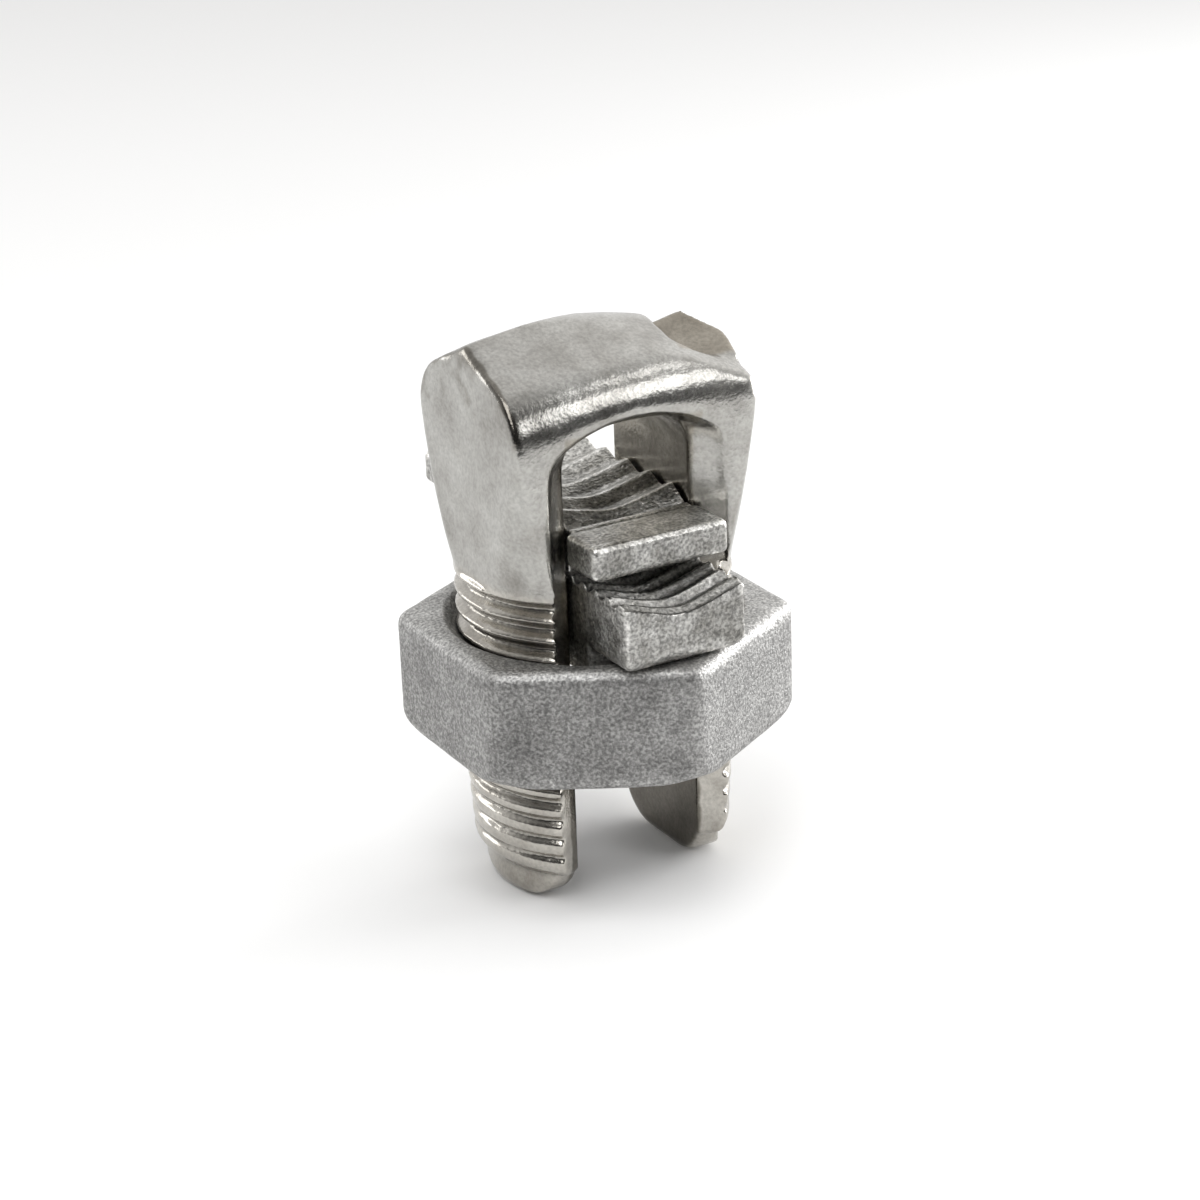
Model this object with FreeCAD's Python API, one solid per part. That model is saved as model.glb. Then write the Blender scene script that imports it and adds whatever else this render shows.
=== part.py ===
import FreeCAD, Part
import math
import os

# Split bolt connector: a forged bolt bent to an upside-down U, a ribbed spacer
# and a ribbed pressure bar between its legs, and a hexagon nut below them.
# Millimetres. Z is the bolt axis, up. X runs from leg to leg. Y is the conductors' way.
# The origin is the middle of the crown's flat underside, where the run conductor bears.
os.makedirs("parts", exist_ok=True)

V = FreeCAD.Vector

# Conductor slot
slot_width = 10.8
slot_corner_r = 2.9
slot_face_depth = 11.6
mouth_width = 14.8
mouth_floor = 7.2
mouth_rise = 0.9
mouth_arch_r = 12.0
mouth_corner_r = 2.6

# Forged head and shoulder. The eave is where the crown's slope would meet its wall.
head_width = 20.8
head_depth = 15.5
crown_eave = 3.93
crown_arch_r = 55.0
crown_peak_x = -3.0
crown_slope_deg = 25.3
crown_height = 7.05
ridge_arch_r = 38.0
ridge_peak_x = -4.0
ridge_slope_deg = 17.0
ridge_r = 6.0
brow_r = 3.6
head_edge = 0.5
shoulder_top_r = 13.0
shoulder_bulge = 0.2
shoulder_top_z = 1.5

# Lip at the crown's +X end: its plan border and its gable
lip_border = [(5.7, 0.5), (5.35, -1.5), (5.6, -3.6), (6.8, -4.8), (10.0, -5.4)]
lip_start_x = 5.9
lip_start_z = 5.22
lip_rise = 0.22
lip_slope_deg = 26.5
lip_rim_x = 8.45
lip_slant_deg = 58.7
lip_turn_deg = 20.5

# Legs and their thread
thread_major = 21.6
thread_depth = 0.95
thread_pitch = 1.5875
thread_start_z = -11.9
thread_lead = 0.45
thread_end_major = 20.3
thread_end_z = -34.9
pilot_dia = 18.5
leg_end_z = -38.1
tip_corner_r = 4.0
tip_half_width = 6.2
tip_edge = 0.7

# Hexagon nut
nut_across_flats = 27.0
nut_height = 9.75
nut_top_z = -16.6
nut_edge_r = 0.6
nut_round_start = 12.9
nut_sink_dia = 23.4
thread_clearance = 0.05

# Pressure bar
slide_clearance = 0.2
bar_length = 27.8
bar_height = 5.7
bar_groove_slope = 0.35
bar_groove_floor = 4.1
bar_corner_r = 1.0
bar_edge = 0.7
bar_boss_dia = 19.2
bar_boss_depth = 2.0
bar_rib_pitch = 1.83
bar_rib_count = 15

# Spacer
spacer_length = 27.6
spacer_shift = 3.05
spacer_rise = 0.8
spacer_thickness = 2.7
spacer_saddle_end = 0.375
spacer_flange_length = 4.5
spacer_flange_width = 11.7
spacer_groove_slope = 0.24
spacer_groove_drop = 0.15
spacer_saddle_slant = 0.9
spacer_roof_slope = 0.2
spacer_rib_pitch = 3.35
spacer_rib_count = 5
spacer_corner_r = 0.5

# Shape shared by the ribs of both saddles
rib_height = 0.42
rib_crest = 0.28
rib_valley = 0.45
rib_land = 0.3

# Reach of a cutting shape past the metal
past = 10.0

slot_half = slot_width / 2
mouth_half = mouth_width / 2
thread_r = thread_major / 2
bar_half = slot_half - slide_clearance
nut_bottom_z = nut_top_z - nut_height
bar_top_z = nut_top_z + bar_height
plate_bottom_z = bar_top_z + spacer_rise
plate_top_z = plate_bottom_z + spacer_thickness


def face_of(edges):
    return Part.Face(Part.Wire(edges))


def polygon_face(points):
    return Part.Face(Part.makePolygon(points + [points[0]]))


def line(a, b):
    return Part.makeLine(a, b)


def arc(a, middle, b):
    return Part.Arc(a, middle, b).toShape()


def block(x0, x1, y0, y1, z0, z1):
    return Part.makeBox(x1 - x0, y1 - y0, z1 - z0, V(x0, y0, z0))


def turned(points):
    # A solid of revolution about Z from (radius, height) points.
    face = polygon_face([V(r, 0, z) for r, z in points])
    return face.revolve(V(0, 0, 0), V(0, 0, 1), 360)


# Points of a rounded corner, from one angle to another.
def rounding(cx, cz, radius, start, end, count):
    points = []
    for i in range(count + 1):
        t = math.radians(start + (end - start) * i / count)
        points.append((cx + radius * math.cos(t), cz + radius * math.sin(t)))
    return points


# Closed outline in the plane y from the points of its right half.
def mirrored_wire(right, y):
    left = [(-x, z) for x, z in reversed(right)]
    points = [V(x, y, z) for x, z in right + left]
    return Part.makePolygon(points + [points[0]])


# Outline of the slot in the plane y: straight sides, rounded corners, flat seat at z = 0.
def slot_wire(y):
    r = slot_corner_r
    inner = slot_half - r
    side = [(slot_half, leg_end_z - past)]
    corner = rounding(inner, -r, r, 0, 90, 4)
    seat = [(inner * share, 0) for share in (0.6, 0.2)]
    return mirrored_wire(side + corner + seat, y)


# Outline of the flared mouth in the plane y: an arched top that runs into its corners.
def mouth_wire(y):
    r = mouth_corner_r
    corner_x = mouth_half - r
    reach = mouth_arch_r - r
    arch_z = mouth_rise - mouth_arch_r
    corner_z = arch_z + math.sqrt(reach * reach - corner_x * corner_x)
    turn = math.degrees(math.acos(corner_x / reach))
    side = [(mouth_half, leg_end_z - past)]
    corner = rounding(corner_x, corner_z, r, 0, turn, 4)
    arch = rounding(0, arch_z, mouth_arch_r, turn, 180 - turn, 5)
    return mirrored_wire(side + corner + arch[1:3], y)


# Sweep of an end view along a wide arc in the XZ plane, past both ends of the head.
# The arc is highest at peak_x, where the end view's height is top.
def swept(edges, top, arch_r, peak_x):
    profile = face_of(edges)
    profile.translate(V(peak_x, 0, 0))
    centre = V(peak_x, 0, top - arch_r)
    far = head_width / 2 + abs(peak_x) + 2
    reach = math.degrees(math.asin(far / (arch_r - top)))
    profile.rotate(centre, V(0, 1, 0), -reach)
    return profile.revolve(centre, V(0, 1, 0), 2 * reach)


# Crown: the head's end view is a gable with rounded brows, swept along a wide arc.
def gable():
    half_x = head_width / 2
    half = head_depth / 2
    low = -4.0
    bottom = -1.0
    slope = math.radians(crown_slope_deg)
    apex = crown_eave + half * math.tan(slope)
    bend = (math.pi / 2 - slope) / 2
    cut = brow_r * math.tan(bend)
    by = half - cut * math.cos(slope)
    bz = crown_eave + cut * math.sin(slope)
    cz = crown_eave - cut
    my = half - brow_r + brow_r * math.cos(bend)
    mz = cz + brow_r * math.sin(bend)
    body = swept([
        line(V(0, -half, low), V(0, -half, cz)),
        arc(V(0, -half, cz), V(0, -my, mz), V(0, -by, bz)),
        line(V(0, -by, bz), V(0, 0, apex)),
        line(V(0, 0, apex), V(0, by, bz)),
        arc(V(0, by, bz), V(0, my, mz), V(0, half, cz)),
        line(V(0, half, cz), V(0, half, low)),
        line(V(0, half, low), V(0, -half, low)),
    ], apex, crown_arch_r, crown_peak_x)
    body = body.common(block(-half_x, half_x, -half - 1, half + 1, bottom, apex))
    rim = [e for e in body.Edges
           if all(abs(abs(v.Point.x) - half_x) < 1e-4 for v in e.Vertexes)
           and e.BoundBox.ZMin > bottom + 0.1]
    return body.makeChamfer(head_edge, rim)


# Limit of the crown's ridge: a flatter gable with a rounded ridge, on a tighter arc
# that wears the ridge down towards +X.
def ridge_limit():
    wide = head_depth / 2 + 1
    low = -4.0
    slope = math.radians(ridge_slope_deg)
    ry = ridge_r * math.sin(slope)
    rz = crown_height - ridge_r * (1 - math.cos(slope))
    side_z = rz - (wide - ry) * math.tan(slope)
    return swept([
        line(V(0, -wide, low), V(0, -wide, side_z)),
        line(V(0, -wide, side_z), V(0, -ry, rz)),
        arc(V(0, -ry, rz), V(0, 0, crown_height), V(0, ry, rz)),
        line(V(0, ry, rz), V(0, wide, side_z)),
        line(V(0, wide, side_z), V(0, wide, low)),
        line(V(0, wide, low), V(0, -wide, low)),
    ], crown_height, ridge_arch_r, ridge_peak_x)


# Head and shoulder: a block whose corners are taken off by a barrel that narrows down
# to the thread's diameter, so the legs turn from square to round.
def head():
    half_x = head_width / 2
    half_y = head_depth / 2
    body = block(-half_x, half_x, -half_y, half_y, thread_start_z - 0.5, -1.0)
    crown = gable().common(ridge_limit())
    body = body.fuse(crown).removeSplitter()
    top = crown_height + 1
    low = thread_start_z - 0.5
    brow_z = shoulder_top_z
    middle_z = (thread_start_z + brow_z) / 2
    middle_r = (thread_r + shoulder_top_r) / 2 + shoulder_bulge
    side = face_of([
        line(V(0, 0, low), V(thread_r, 0, low)),
        line(V(thread_r, 0, low), V(thread_r, 0, thread_start_z)),
        arc(V(thread_r, 0, thread_start_z), V(middle_r, 0, middle_z), V(shoulder_top_r, 0, brow_z)),
        line(V(shoulder_top_r, 0, brow_z), V(shoulder_top_r, 0, top)),
        line(V(shoulder_top_r, 0, top), V(0, 0, top)),
        line(V(0, 0, top), V(0, 0, low)),
    ])
    return body.common(side.revolve(V(0, 0, 0), V(0, 0, 1), 360))


# Outer form of the shank: the thread's crest, a slight taper below the nut's place,
# a step at the last turn and a plain pilot end.
def shank():
    taper_z = nut_bottom_z + 1.5
    end_r = thread_end_major / 2
    pilot_r = pilot_dia / 2
    lead_r = head_width / 2 - 0.02
    profile = [
        (0, leg_end_z),
        (pilot_r - 0.9, leg_end_z),
        (pilot_r - 0.25, leg_end_z + 0.3),
        (pilot_r, leg_end_z + 0.95),
        (pilot_r, thread_end_z - (end_r - pilot_r)),
        (end_r, thread_end_z),
        (thread_r, taper_z),
        (thread_r, thread_start_z - thread_lead),
        (lead_r, thread_start_z + 0.1),
        (0, thread_start_z + 0.1),
    ]
    return turned(profile)


# Thread of one leg. A leg carries less than half of each turn, so its turns are cut as
# rings that slope by the thread's lead, half a pitch higher on the other leg.
def thread_limit(side):
    root = thread_r - thread_depth
    taper_z = nut_bottom_z + 1.5
    end_r = thread_end_major / 2
    turns = math.ceil((thread_start_z - thread_end_z) / thread_pitch) + 2
    low = thread_end_z - thread_pitch * (1 + side / 4)
    points = [(0, low)]
    for i in range(turns):
        z = low + i * thread_pitch
        top = z + thread_pitch / 2
        share = min(1, max(0, (taper_z - top) / (taper_z - thread_end_z)))
        crest = thread_r - share * (thread_r - end_r)
        points += [(root, z), (crest, top)]
    high = low + turns * thread_pitch
    rings = turned(points + [(root, high), (0, high)])
    shear = FreeCAD.Matrix()
    shear.A32 = side * thread_pitch / (math.pi * thread_major)
    return rings.transformGeometry(shear)


# Leg ends are rounded like the end of a tongue when seen from the side, and the edge
# round their inner face is broken as well.
def tongue():
    w = tip_half_width
    r = tip_corner_r
    k = r * math.sqrt(0.5)
    z0 = leg_end_z
    z1 = leg_end_z + tip_corner_r + past
    x0 = slot_half
    face = face_of([
        line(V(x0, -w, z1), V(x0, -w, z0 + r)),
        arc(V(x0, -w, z0 + r), V(x0, -w + r - k, z0 + r - k), V(x0, -w + r, z0)),
        line(V(x0, -w + r, z0), V(x0, w - r, z0)),
        arc(V(x0, w - r, z0), V(x0, w - r + k, z0 + r - k), V(x0, w, z0 + r)),
        line(V(x0, w, z0 + r), V(x0, w, z1)),
        line(V(x0, w, z1), V(x0, -w, z1)),
    ])
    leg = face.extrude(V(thread_r, 0, 0))
    inner = [e for e in leg.Edges if e.BoundBox.XMax < x0 + 1e-6 and e.BoundBox.ZMin < z1 - 1e-3]
    leg = leg.makeChamfer(tip_edge, inner)
    other = leg.copy()
    other.rotate(V(0, 0, 0), V(0, 0, 1), 180)
    return leg.fuse(other)


# A lip stands up at the crown's +X end, where the forging was trimmed: inside its plan
# border the falling ridge gives way to a gable that rises again, slanted off at the rear.
def lipped(body):
    half_x = head_width / 2
    half_y = head_depth / 2
    wide = head_depth
    far = head_width
    low = -1.5
    high = crown_height + 1
    last_x, last_y = lip_border[-1]
    plan = [(lip_border[0][0], wide)] + lip_border + [(far, last_y), (far, wide)]
    pocket = polygon_face([V(x, y, low) for x, y in plan]).extrude(V(0, 0, high - low))
    drop = wide * math.tan(math.radians(lip_slope_deg))
    sections = []
    for x in (lip_start_x - 1, far):
        z = lip_start_z + lip_rise * (x - lip_start_x)
        side = [V(x, -wide, z - drop), V(x, 0, z), V(x, wide, z - drop)]
        base = [V(x, wide, -past), V(x, -wide, -past)]
        sections.append(Part.makePolygon(side + base + [side[0]]))
    gable = Part.makeLoft(sections, True, True)
    lip = gable.common(pocket).common(block(0, half_x, -half_y, half_y, low, high))
    rim_z = lip_start_z + lip_rise * (lip_rim_x - lip_start_x)
    slant = block(-far, far, -far, far, 0, high)
    slant.rotate(V(0, 0, 0), V(0, 1, 0), lip_slant_deg)
    slant.rotate(V(0, 0, 0), V(0, 0, 1), lip_turn_deg)
    slant.translate(V(lip_rim_x, 0, rim_z))
    return body.cut(pocket).fuse(lip.cut(slant))


def split_bolt():
    body = lipped(head())
    form = shank()
    tip = tongue()
    pilot_z = thread_end_z - (thread_end_major - pilot_dia) / 2
    wide = 40.0
    for side in (-1, 1):
        inner = side * slot_half / 2
        outer = side * wide
        x0 = min(inner, outer)
        x1 = max(inner, outer)
        end = form.common(block(x0, x1, -wide, wide, leg_end_z - 1, pilot_z)).common(tip)
        leg = thread_limit(side).common(block(x0, x1, -wide, wide, pilot_z, thread_start_z))
        body = body.fuse(leg).fuse(end)
    slot = Part.Face(slot_wire(-wide)).extrude(V(0, 2 * wide, 0))
    body = body.cut(slot)
    inner = slot_face_depth / 2
    for side in (-1, 1):
        flare = Part.makeLoft([slot_wire(side * inner), mouth_wire(side * mouth_floor)], True, True)
        outer = Part.Face(mouth_wire(side * mouth_floor)).extrude(V(0, side * wide, 0))
        body = body.cut(flare).cut(outer)
    return body.removeSplitter()


# Turned limit of the nut: the lower corners are drawn in to a dome, the upper
# corners are only just broken.
def nut_limit():
    corner = nut_across_flats / math.sqrt(3)
    wide = corner + 0.06
    z0 = nut_bottom_z
    z1 = nut_top_z
    edges = [
        line(V(0, 0, z0), V(nut_round_start, 0, z0)),
        line(V(nut_round_start, 0, z0), V(corner - 1.0, 0, z0 + 0.5)),
        line(V(corner - 1.0, 0, z0 + 0.5), V(corner - 0.35, 0, z0 + 1.25)),
        line(V(corner - 0.35, 0, z0 + 1.25), V(wide, 0, z0 + 2.6)),
        line(V(wide, 0, z0 + 2.6), V(wide, 0, z1 - 0.5)),
        line(V(wide, 0, z1 - 0.5), V(corner - 0.4, 0, z1)),
        line(V(corner - 0.4, 0, z1), V(0, 0, z1)),
        line(V(0, 0, z1), V(0, 0, z0)),
    ]
    return face_of(edges).revolve(V(0, 0, 0), V(0, 0, 1), 360)


# Flats face +X and -X, corners point along Y.
def hex_nut():
    corner = nut_across_flats / math.sqrt(3)
    points = []
    for i in range(6):
        t = math.radians(30 + 60 * i)
        points.append(V(corner * math.cos(t), corner * math.sin(t), nut_bottom_z))
    prism = polygon_face(points).extrude(V(0, 0, nut_height))
    upright = [e for e in prism.Edges if abs(e.BoundBox.ZLength - nut_height) < 1e-6]
    prism = prism.makeFillet(nut_edge_r, upright)
    body = prism.common(nut_limit())
    bore = thread_r + thread_clearance
    sink = nut_sink_dia / 2
    z0 = nut_bottom_z
    z1 = nut_top_z
    hole = turned([
        (0, z0 - 1), (bore + 1.6, z0 - 1), (bore, z0 + 0.6),
        (bore, z1 - (sink - bore)), (sink, z1), (sink, z1 + 1), (0, z1 + 1),
    ])
    return body.cut(hole)


# Ribbed groove block: the saw-tooth side view is pushed out sideways and upwards
# to both sides, which makes ribs that follow the V of the groove.
def ribbed(profile, half, slope):
    reach = half + 1
    right = profile.extrude(V(reach, 0, reach * slope))
    left = profile.extrude(V(-reach, 0, reach * slope))
    return right.fuse(left).removeSplitter()


# Side view of a row of ribs about y = centre. ground is the valleys' height at x = 0.
def rib_points(centre, pitch, count, ground):
    rise = (pitch - rib_crest - rib_valley) / 2
    start = centre - pitch * (count - 1) / 2
    points = []
    for i in range(count):
        y = start + i * pitch
        points.append((y - rib_crest / 2 - rise, ground))
        points.append((y - rib_crest / 2, ground + rib_height))
        points.append((y + rib_crest / 2, ground + rib_height))
        points.append((y + rib_crest / 2 + rise, ground))
    return points


def pressure_bar():
    half = bar_half
    end = bar_length / 2
    crest = nut_top_z + bar_groove_floor
    land = crest - rib_land
    teeth = rib_points(0, bar_rib_pitch, bar_rib_count, crest - rib_height)
    deep = nut_top_z - past
    first = teeth[0][0]
    last = teeth[-1][0]
    outline = [(first - past, deep), (first - past, land), (first, land)] + teeth[1:-1]
    outline += [(last, land), (last + past, land), (last + past, deep)]
    groove = ribbed(polygon_face([V(0, y, z) for y, z in outline]), half, bar_groove_slope)
    stock = block(-half, half, -end, end, nut_top_z, bar_top_z)
    upright = [e for e in stock.Edges if abs(e.BoundBox.ZLength - bar_height) < 1e-6]
    stock = stock.makeFillet(bar_corner_r, upright)
    rim = [e for e in stock.Edges if abs(e.BoundBox.ZMin - bar_top_z) < 1e-6]
    stock = stock.makeChamfer(bar_edge, rim)
    body = stock.common(groove)
    boss = Part.makeCylinder(bar_boss_dia / 2, bar_boss_depth, V(0, 0, nut_top_z - bar_boss_depth))
    boss = boss.common(block(-half, half, -end, end, nut_top_z - bar_boss_depth - 1, nut_top_z + 1))
    return body.fuse(boss).removeSplitter()


def spacer():
    half = bar_half
    centre = spacer_shift
    end = spacer_length / 2
    saddle = spacer_rib_count * spacer_rib_pitch / 2 + spacer_saddle_end
    wide = spacer_flange_width / 2
    high = plate_top_z + half * spacer_groove_slope + 1
    deep = bar_top_z - past
    crest = plate_top_z - spacer_groove_drop
    land = crest - rib_land
    teeth = rib_points(centre, spacer_rib_pitch, spacer_rib_count, crest - rib_height)
    outline = [(centre - saddle, deep), (centre - saddle, land - spacer_saddle_slant)]
    outline += teeth[1:-1]
    outline += [(centre + saddle, land - spacer_saddle_slant), (centre + saddle, deep)]
    groove = ribbed(polygon_face([V(0, y, z) for y, z in outline]), half, spacer_groove_slope)
    saddle_box = block(-half, half, centre - saddle, centre + saddle, plate_bottom_z, high)
    rails = block(-half, half, centre - saddle, centre + saddle, bar_top_z, plate_bottom_z)
    body = saddle_box.common(groove).fuse(rails)
    # Wider end flanges lie in the mouths of the slot and keep the spacer from sliding out.
    for side in (-1, 1):
        y_out = centre + side * end
        y_in = centre + side * (end - spacer_flange_length)
        y_body = centre + side * saddle
        flange = block(-wide, wide, min(y_out, y_in), max(y_out, y_in), plate_bottom_z, plate_top_z)
        upright = [e for e in flange.Edges if e.BoundBox.ZLength > spacer_thickness - 1e-6
                   and abs(e.BoundBox.YMin - y_out) < 1e-6]
        neck = block(-half, half, min(y_in, y_body), max(y_in, y_body), plate_bottom_z, plate_top_z)
        body = body.fuse(flange.makeFillet(spacer_corner_r, upright)).fuse(neck)
    # Underside: a shallow ribbed roof over the tap conductor, resting on its two side rails.
    roof = bar_top_z + half * spacer_roof_slope - 0.1
    under = rib_points(centre, spacer_rib_pitch, spacer_rib_count, 0)
    first = under[0][0]
    last = under[-1][0]
    hollow = [(centre - saddle - 0.01, deep), (centre - saddle - 0.01, roof - 0.1), (first, roof - 0.1)]
    hollow += [(y, roof - 0.1 - 0.6 * z) for y, z in under[1:-1]]
    hollow += [(last, roof - 0.1), (centre + saddle + 0.01, roof - 0.1), (centre + saddle + 0.01, deep)]
    tunnel = ribbed(polygon_face([V(0, y, z) for y, z in hollow]), half, -spacer_roof_slope)
    return body.cut(tunnel).removeSplitter()


nodes = {
    "split_bolt": split_bolt,
    "spacer": spacer,
    "pressure_bar": pressure_bar,
    "hex_nut": hex_nut,
}
for name, build in nodes.items():
    shape = build()
    solids = shape.Solids
    print(name, "solids", len(solids), "valid", shape.isValid(), "volume", round(shape.Volume, 1))
    if len(solids) == 1:
        shape = solids[0]
    shape.exportStep("parts/" + name + ".step")
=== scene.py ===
import math

import bpy
from mathutils import Matrix, Vector


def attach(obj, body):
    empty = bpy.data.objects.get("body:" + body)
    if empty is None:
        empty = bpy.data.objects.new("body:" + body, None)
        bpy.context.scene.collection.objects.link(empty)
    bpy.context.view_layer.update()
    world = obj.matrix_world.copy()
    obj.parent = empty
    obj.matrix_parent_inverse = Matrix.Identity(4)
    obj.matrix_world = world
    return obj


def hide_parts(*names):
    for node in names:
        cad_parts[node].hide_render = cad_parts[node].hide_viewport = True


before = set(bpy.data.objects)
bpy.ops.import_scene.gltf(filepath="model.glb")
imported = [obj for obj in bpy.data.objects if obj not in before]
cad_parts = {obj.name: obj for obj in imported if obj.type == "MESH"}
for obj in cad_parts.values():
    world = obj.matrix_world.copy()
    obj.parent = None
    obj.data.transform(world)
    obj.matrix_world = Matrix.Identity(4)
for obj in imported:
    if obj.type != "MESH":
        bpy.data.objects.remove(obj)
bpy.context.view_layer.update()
print("frame loaded")

# Pieces are drawn in millimetres, in the frame's own place, and brought to metres when
# they are finished. z = 0 is the seat under the crown, z runs up the bolt's axis.
# Slopes, turns and swings in the dictionaries are in degrees.
millimetre = 0.001          # in metres


# Small tools

def deselectAll():
    if bpy.context.object and bpy.context.object.mode != "OBJECT":
        bpy.ops.object.mode_set(mode="OBJECT")
    bpy.ops.object.select_all(action="DESELECT")


def activate(piece):
    deselectAll()
    piece.select_set(True)
    bpy.context.view_layer.objects.active = piece


def drawLine(name, points):
    # one vertex, extruded from point to point
    deselectAll()
    bpy.ops.mesh.primitive_plane_add(size=1, enter_editmode=True)
    bpy.ops.mesh.merge(type="CENTER")
    bpy.ops.transform.translate(value=points[0])
    for here, there in zip(points, points[1:]):
        step = Vector(there) - Vector(here)
        bpy.ops.mesh.extrude_region_move(TRANSFORM_OT_translate={"value": step})
    bpy.ops.mesh.select_all(action="SELECT")
    piece = bpy.context.object
    piece.name = name
    return piece


def closeUp():
    # for the piece in edit mode: weld what touches and turn all faces outwards
    bpy.ops.mesh.select_all(action="SELECT")
    bpy.ops.mesh.remove_doubles(threshold=0.0005)
    bpy.ops.mesh.normals_make_consistent(inside=False)
    bpy.ops.object.mode_set(mode="OBJECT")


def turned(name, profile, steps=128):
    # profile: (radius, z) points from the axis, round and back to the axis
    piece = drawLine(name, [(r, 0, z) for r, z in profile])
    bpy.ops.mesh.spin(steps=steps, angle=2 * math.pi, center=(0, 0, 0), axis=(0, 0, 1))
    closeUp()
    return piece


def extruded(name, outline, way):
    piece = drawLine(name, outline)
    bpy.ops.mesh.edge_face_add()
    bpy.ops.mesh.extrude_region_move(TRANSFORM_OT_translate={"value": way})
    closeUp()
    return piece


def swung(name, outline, centre, axis, angle, steps):
    # outline: a closed face, swung through the angle, half to each side
    piece = drawLine(name, outline)
    bpy.ops.mesh.edge_face_add()
    bpy.ops.mesh.spin(steps=1, angle=-angle / 2, center=centre, axis=axis, dupli=True)
    bpy.ops.mesh.select_all(action="INVERT")
    bpy.ops.mesh.delete(type="VERT")
    bpy.ops.mesh.select_all(action="SELECT")
    bpy.ops.mesh.spin(steps=steps, angle=angle, center=centre, axis=axis)
    closeUp()
    return piece


def bridged(name, rings):
    # rings of equal length, joined one after the other and closed at both ends
    parts = []
    for ring in rings:
        parts.append(drawLine(name, ring + [ring[0]]))
        bpy.ops.mesh.remove_doubles(threshold=0.0005)
    deselectAll()
    for part in parts:
        part.select_set(True)
    bpy.context.view_layer.objects.active = parts[0]
    bpy.ops.object.join()
    bpy.ops.object.mode_set(mode="EDIT")
    bpy.ops.mesh.select_all(action="SELECT")
    bpy.ops.mesh.bridge_edge_loops()
    bpy.ops.mesh.select_all(action="DESELECT")
    bpy.ops.mesh.select_non_manifold(extend=False)
    bpy.ops.mesh.fill_holes(sides=0)
    closeUp()
    return bpy.context.object


def coil(name, section, z, pitch, turns):
    # section: closed (radius, height) outline of one thread ridge, wound up the axis
    piece = drawLine(name, [(r, 0, z + h) for r, h in section + section[:1]])
    bpy.ops.mesh.remove_doubles(threshold=0.0005)
    bpy.ops.object.mode_set(mode="OBJECT")
    screw = piece.modifiers.new("wind", "SCREW")
    screw.axis = "Z"
    screw.angle = 2 * math.pi
    screw.screw_offset = pitch
    screw.iterations = turns
    screw.steps = 72
    screw.render_steps = 72
    bpy.ops.object.modifier_apply(modifier="wind")
    bpy.ops.object.mode_set(mode="EDIT")
    bpy.ops.mesh.select_all(action="DESELECT")
    bpy.ops.mesh.select_non_manifold(extend=False)
    bpy.ops.mesh.fill_holes(sides=0)
    closeUp()
    return piece


def block(name, low, high):
    deselectAll()
    middle = [(a + b) / 2 for a, b in zip(low, high)]
    size = [b - a for a, b in zip(low, high)]
    bpy.ops.mesh.primitive_cube_add(size=1, location=middle)
    piece = bpy.context.object
    piece.scale = size
    bpy.ops.object.transform_apply(location=True, rotation=False, scale=True)
    piece.name = name
    return piece


def roundEdges(piece, width, segments, chosen=None):
    # bevels all edges, or those that are chosen by their two ends
    activate(piece)
    bpy.ops.object.mode_set(mode="EDIT")
    bpy.ops.mesh.select_mode(type="EDGE")
    bpy.ops.mesh.select_all(action="DESELECT")
    bpy.ops.object.mode_set(mode="OBJECT")
    mesh = piece.data
    for edge in mesh.edges:
        a, b = (mesh.vertices[i].co for i in edge.vertices)
        edge.select = chosen is None or chosen(a, b)
    bpy.ops.object.mode_set(mode="EDIT")
    bpy.ops.mesh.bevel(offset=width, segments=segments, profile=0.5, affect="EDGES")
    bpy.ops.mesh.select_mode(type="VERT")
    bpy.ops.object.mode_set(mode="OBJECT")


def combine(piece, other, how):
    activate(piece)
    step = piece.modifiers.new("combine", "BOOLEAN")
    step.operation = how
    step.solver = "MANIFOLD"
    step.object = other
    bpy.ops.object.modifier_apply(modifier="combine")
    bpy.data.objects.remove(other)


def cast(piece, voxel):
    # one even skin over the whole form, as a cast or forged surface has
    activate(piece)
    step = piece.modifiers.new("skin", "REMESH")
    step.mode = "VOXEL"
    step.voxel_size = voxel
    bpy.ops.object.modifier_apply(modifier="skin")


def within(borders):
    # a place's share grows from 0 at a border's start to 1 after its run, and of all the
    # borders (axis, start, run) the least share counts; a run below 0 leads down the axis
    def share(x, y, z):
        places = {"x": x, "y": y, "z": z, "width": abs(x), "depth": abs(y)}
        return min((places[axis] - start) / run for axis, start, run in borders)

    return share


def soften(piece, rounds, share=None):
    # smooths the skin, everywhere or by the share that a place (x, y, z) is given
    activate(piece)
    step = piece.modifiers.new("soften", "SMOOTH")
    step.factor = 0.5
    step.iterations = rounds
    if share:
        zone = piece.vertex_groups.new(name="zone")
        for v in piece.data.vertices:
            weight = share(v.co.x, v.co.y, v.co.z)
            if weight > 0:
                zone.add([v.index], min(1.0, weight), "REPLACE")
        step.vertex_group = "zone"
    bpy.ops.object.modifier_apply(modifier="soften")
    piece.vertex_groups.clear()


def roughen(piece, size, height):
    # uneven skin: hollows of the given size and depth, taken off the form
    activate(piece)
    cloud = bpy.data.textures.new(piece.name + "Skin", "CLOUDS")
    cloud.noise_scale = size
    cloud.noise_depth = 2
    step = piece.modifiers.new("roughen", "DISPLACE")
    step.texture = cloud
    step.texture_coords = "LOCAL"
    step.strength = height
    step.mid_level = 0.9
    bpy.ops.object.modifier_apply(modifier="roughen")


def lighten(piece, share):
    # keeps that share of the faces, fewest where the skin is flat
    activate(piece)
    step = piece.modifiers.new("lighten", "DECIMATE")
    step.ratio = share
    bpy.ops.object.modifier_apply(modifier="lighten")


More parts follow.
